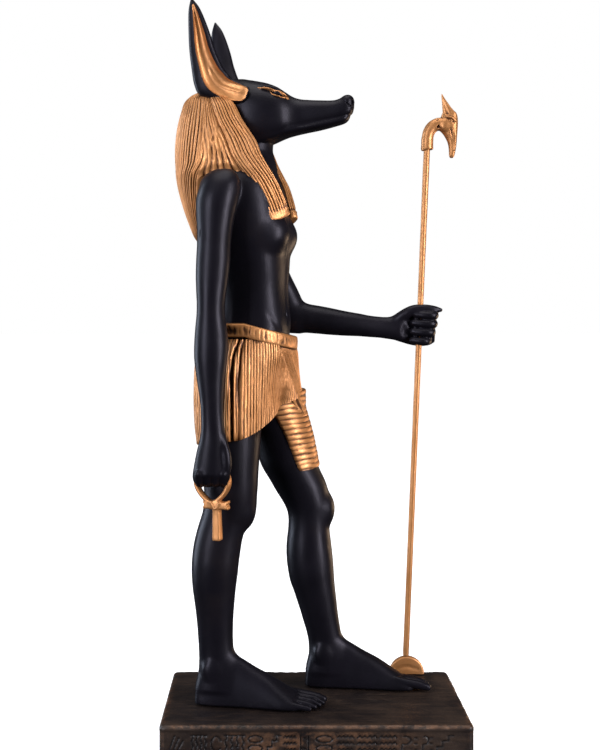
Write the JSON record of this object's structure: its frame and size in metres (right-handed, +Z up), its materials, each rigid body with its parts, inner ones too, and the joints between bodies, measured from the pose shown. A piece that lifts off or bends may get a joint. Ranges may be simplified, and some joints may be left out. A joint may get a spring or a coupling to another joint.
{
  "type": "jackal-headed statuette",
  "caption": "Striding jackal-headed figure in a pleated kilt on a rectangular plinth, one arm down with a looped cross, the other forward with a tall staff.",
  "frame": {"origin": "middle of the plinth's underside", "axes": "+X the way the figure walks, along the plinth's long side; +Y across the plinth, towards the side of the arm with the staff; +Z up"},
  "size_m": [0.1235, 0.0677, 0.305],
  "materials": {
    "plinth_paint": "cast resin, dark brown-black with rubbed coppery edges",
    "black_lacquer": "cast resin, satin black body with antiqued coppery-gold headcloth, kilt and looped cross",
    "gold_rod": "thin bar painted coppery gold",
    "gold_paint": "cast resin painted antiqued coppery gold"
  },
  "bodies": {
    "root": {"plinth": "plinth_paint", "figure": "black_lacquer", "staff_rod": "gold_rod", "staff_head": "gold_paint", "staff_foot": "gold_paint"}
  },
  "joints": []
}
